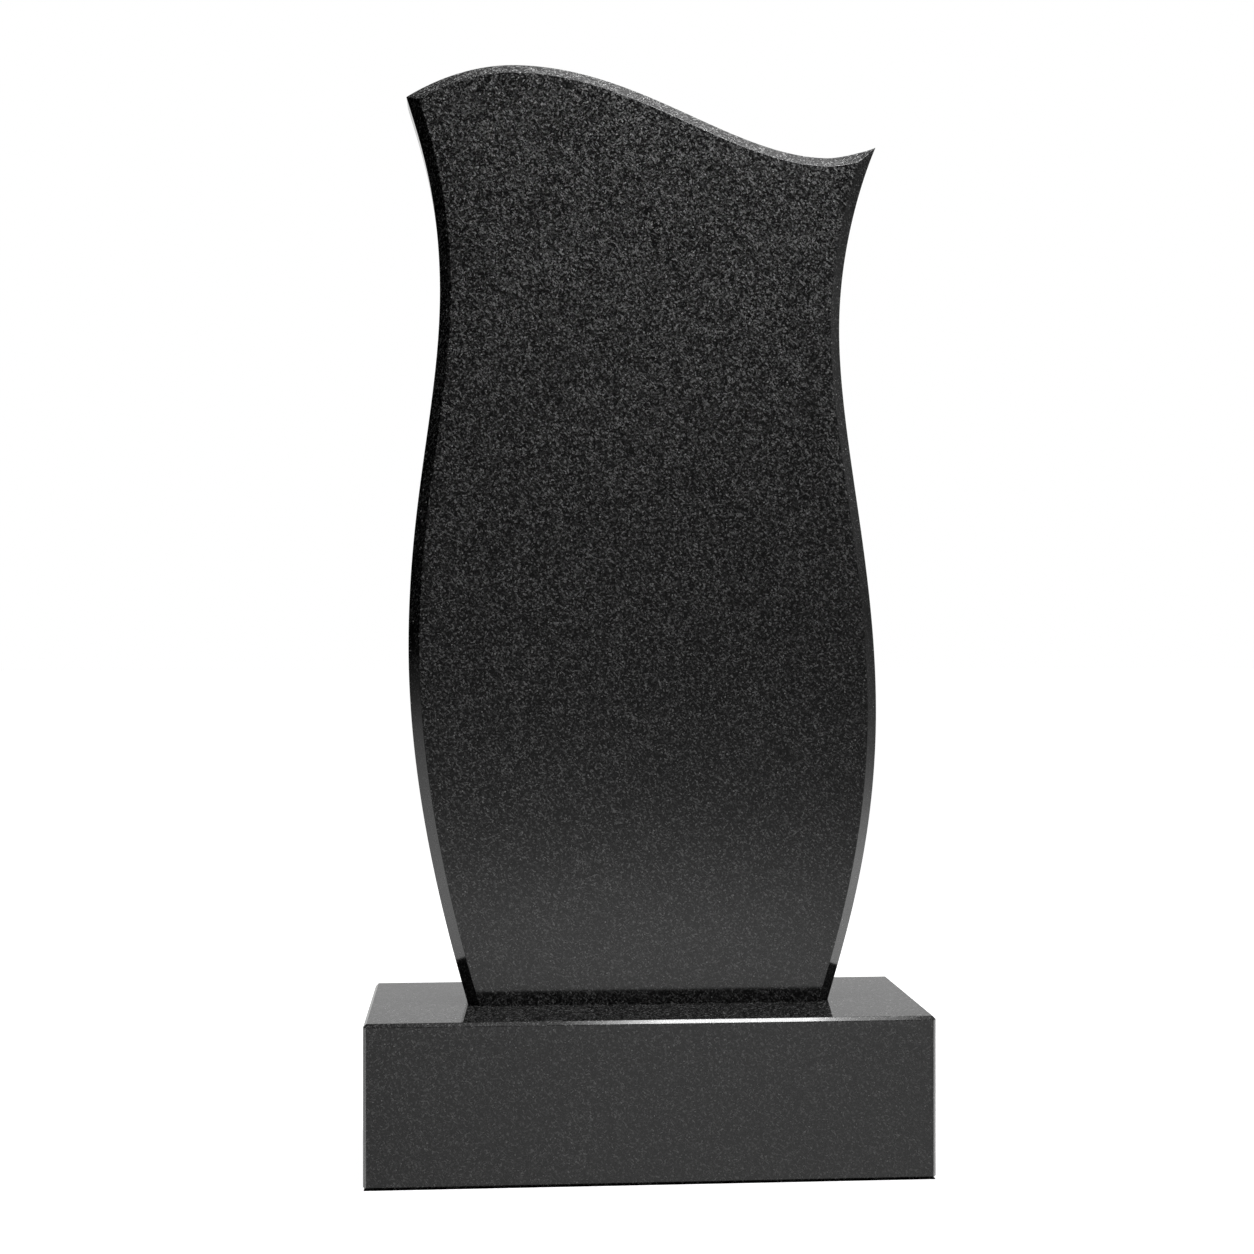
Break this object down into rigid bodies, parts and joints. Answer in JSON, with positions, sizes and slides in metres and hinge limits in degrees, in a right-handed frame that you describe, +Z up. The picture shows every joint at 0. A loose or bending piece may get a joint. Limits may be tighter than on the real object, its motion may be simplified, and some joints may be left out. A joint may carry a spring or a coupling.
{
  "type": "headstone",
  "caption": "Free-standing headstone: a wave-topped slab of polished black stone with S-curved sides and a chamfered front, standing on a rectangular plinth.",
  "frame": {"origin": "on the ground, at the centre of the plinth's underside", "axes": "+Z up through the stele, +X to the right of someone who stands before the front face, +Y from front to back"},
  "size_m": [0.7, 0.2, 1.3923],
  "materials": {
    "stele_polish": "mirror polished near-black gabbro with fine grey grain",
    "plinth_polish": "polished near-black gabbro with fine grey grain"
  },
  "bodies": {
    "root": {"stele": "stele_polish", "plinth": "plinth_polish"}
  },
  "joints": []
}
